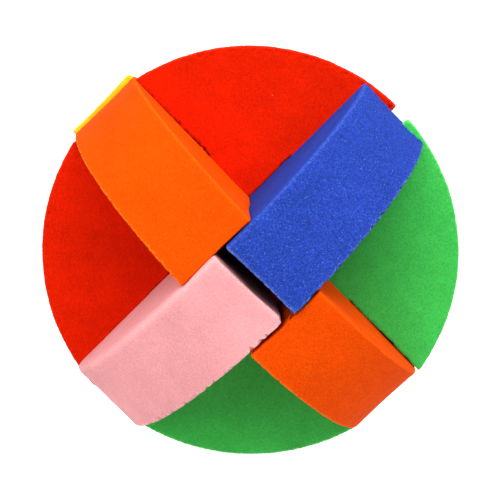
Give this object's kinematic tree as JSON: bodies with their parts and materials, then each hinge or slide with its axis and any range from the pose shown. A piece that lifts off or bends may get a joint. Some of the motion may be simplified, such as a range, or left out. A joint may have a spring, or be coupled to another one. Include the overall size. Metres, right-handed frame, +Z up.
{
  "type": "interlocking foam puzzle ball",
  "caption": "Ball-shaped foam puzzle: thick half discs in different colours cross at right angles, woven through one another, and draw apart together.",
  "frame": {"origin": "centre of the ball, where the middle planes of the crossed discs meet", "axes": "+Z up along the diagonal between the three disc axes, with the ball standing on its three lowest rim corners; the red and green disc faces up and towards -Y, so the seam between blue and pink is on the -Y side; +X is level, to the right for a viewer who faces that seam"},
  "size_m": [0.075, 0.0746, 0.0698],
  "materials": {
    "red_foam": "matte",
    "green_foam": "matte",
    "orange_foam": "matte",
    "yellow_foam": "matte",
    "blue_foam": "matte",
    "pink_foam": "matte"
  },
  "bodies": {
    "yellow_half": {"yellow_half_disc": "yellow_foam"},
    "orange_half": {"orange_half_disc": "orange_foam"},
    "red_half": {"red_half_disc": "red_foam"},
    "green_half": {"green_half_disc": "green_foam"},
    "blue_half": {"blue_half_disc": "blue_foam"},
    "pink_half": {"pink_half_disc": "pink_foam"}
  },
  "joints": [
    {"name": "orange_draw", "type": "slide", "parent": "yellow_half", "child": "orange_half", "axis": [0, -0.8165, 0.5774], "range_m": [0, 0.06]},
    {"name": "red_draw", "type": "slide", "parent": "yellow_half", "child": "red_half", "axis": [-0.5, -0.2887, 0.8165], "range_m": [0, 0.04245]},
    {"name": "green_draw", "type": "slide", "parent": "yellow_half", "child": "green_half", "axis": [0.5, -0.866, 0], "range_m": [0, 0.04245]},
    {"name": "blue_draw", "type": "slide", "parent": "yellow_half", "child": "blue_half", "axis": [0.5, -0.2887, 0.8165], "range_m": [0, 0.04245]},
    {"name": "pink_draw", "type": "slide", "parent": "yellow_half", "child": "pink_half", "axis": [-0.5, -0.866, 0], "range_m": [0, 0.04245]}
  ],
  "couplings": [
    {"joint": "red_draw", "follows": "orange_draw", "ratio": 0.70711},
    {"joint": "green_draw", "follows": "orange_draw", "ratio": 0.70711},
    {"joint": "blue_draw", "follows": "orange_draw", "ratio": 0.70711},
    {"joint": "pink_draw", "follows": "orange_draw", "ratio": 0.70711}
  ]
}
